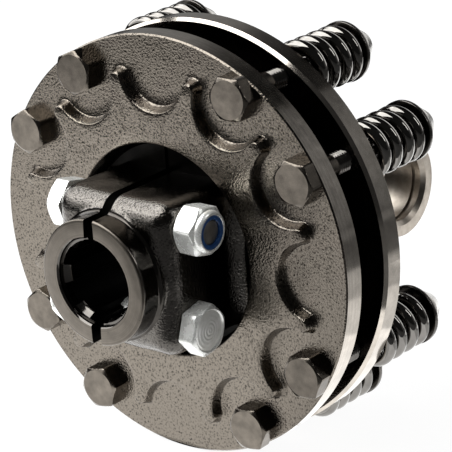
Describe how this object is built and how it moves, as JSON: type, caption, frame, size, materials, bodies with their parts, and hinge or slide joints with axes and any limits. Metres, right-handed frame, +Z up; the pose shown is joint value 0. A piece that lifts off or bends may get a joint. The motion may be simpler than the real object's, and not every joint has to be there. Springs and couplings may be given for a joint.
{
  "type": "torque limiter",
  "caption": "Friction torque limiter: a split splined clamp hub drives a lined flange gripped by sprung round plates, with a universal joint yoke behind.",
  "frame": {"origin": "on the hub's axis, inside the splined bore, in the plane of the front plate's bolt seats", "axes": "+Y along the axis from the hub's nose to the yoke, +Z up in the plane of the clamp slit, +X along the clamp bolts"},
  "size_m": [0.178, 0.1759, 0.178],
  "materials": {
    "hub_black": "gloss black paint over a casting, turned nose face",
    "zinc_steel": "bright zinc plate",
    "insert_blue": "blue nylon",
    "cast_black": "semi-gloss black paint over rough sand casting, turned rim",
    "lining": "brown friction lining",
    "yoke_black": "black paint, machined ear faces bare",
    "bronze": "turned bronze",
    "bolt_black": "blackened steel",
    "spring_black": "gloss black enamel",
    "cup_black": "satin black",
    "cone_grey": "dull zinc plate"
  },
  "bodies": {
    "hub": {"clamp_hub": "hub_black", "clamp_bolts": "zinc_steel", "clamp_nuts": "zinc_steel", "clamp_nut_inserts": "insert_blue"},
    "housing": {"front_plate": "cast_black", "friction_disc_front": "lining", "friction_disc_rear": "lining", "flange_yoke": "yoke_black", "pilot_bush": "bronze", "plate_bolts": "bolt_black", "spring_1": "spring_black", "spring_2": "spring_black", "spring_3": "spring_black", "spring_4": "spring_black", "spring_5": "spring_black", "spring_6": "spring_black", "spring_7": "spring_black", "spring_8": "spring_black", "spring_cup_1": "cup_black", "spring_cup_2": "cup_black", "spring_cup_3": "cup_black", "spring_cup_4": "cup_black", "spring_cup_5": "cup_black", "spring_cup_6": "cup_black", "spring_cup_7": "cup_black", "spring_cup_8": "cup_black", "cone_nuts": "cone_grey"}
  },
  "joints": [
    {"name": "slip", "type": "hinge", "parent": "hub", "child": "housing", "pos_m": [0, 0, 0], "axis": [0, 1, 0], "continuous": true}
  ]
}
